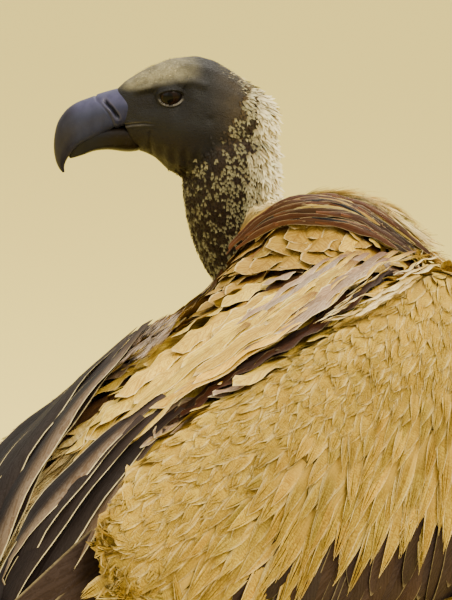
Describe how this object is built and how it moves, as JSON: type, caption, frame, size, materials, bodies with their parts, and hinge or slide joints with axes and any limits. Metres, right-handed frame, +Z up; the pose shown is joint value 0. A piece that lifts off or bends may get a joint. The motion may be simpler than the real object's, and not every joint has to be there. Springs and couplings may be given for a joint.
{
  "type": "standing vulture figure",
  "caption": "Life-size standing vulture, wings folded, bare head turned back past the left shoulder, pale ruff, hooked dark bill, tan coverts and dark flight feathers.",
  "frame": {"origin": "on the floor under the middle of the bounding box", "axes": "+Z up; the body heads along -Y with the tail towards +Y; +X is the bird's left; the head is turned back to look along +X and +Y"},
  "size_m": [0.3422, 0.6252, 0.6332],
  "materials": {
    "plumage": "matte",
    "pale_down": "matte",
    "flight_feather": "satin",
    "face_skin": "matte",
    "neck_skin": "matte",
    "horn": "satin",
    "eye": "gloss",
    "leg_skin": "matte"
  },
  "bodies": {
    "root": {"bill_lower": "horn", "bill_upper": "horn", "claw_left_hind": "horn", "claw_left_inner": "horn", "claw_left_middle": "horn", "claw_left_outer": "horn", "claw_right_hind": "horn", "claw_right_inner": "horn", "claw_right_middle": "horn", "claw_right_outer": "horn", "eye_left": "eye", "eye_right": "eye", "foot_left": "leg_skin", "foot_right": "leg_skin", "head": "face_skin", "neck_lower": "neck_skin", "neck_middle": "neck_skin", "neck_upper": "neck_skin", "ruff": "pale_down", "scapulars_left": "plumage", "scapulars_right": "plumage", "tail": "flight_feather", "tarsus_left": "leg_skin", "tarsus_right": "leg_skin", "thigh_left": "plumage", "thigh_right": "plumage", "toe_left_hind": "leg_skin", "toe_left_inner": "leg_skin", "toe_left_middle": "leg_skin", "toe_left_outer": "leg_skin", "toe_right_hind": "leg_skin", "toe_right_inner": "leg_skin", "toe_right_middle": "leg_skin", "toe_right_outer": "leg_skin", "trunk": "plumage", "wing_left_coverts": "plumage", "wing_left_primaries": "flight_feather", "wing_left_secondaries": "flight_feather", "wing_right_coverts": "plumage", "wing_right_primaries": "flight_feather", "wing_right_secondaries": "flight_feather"}
  },
  "joints": []
}
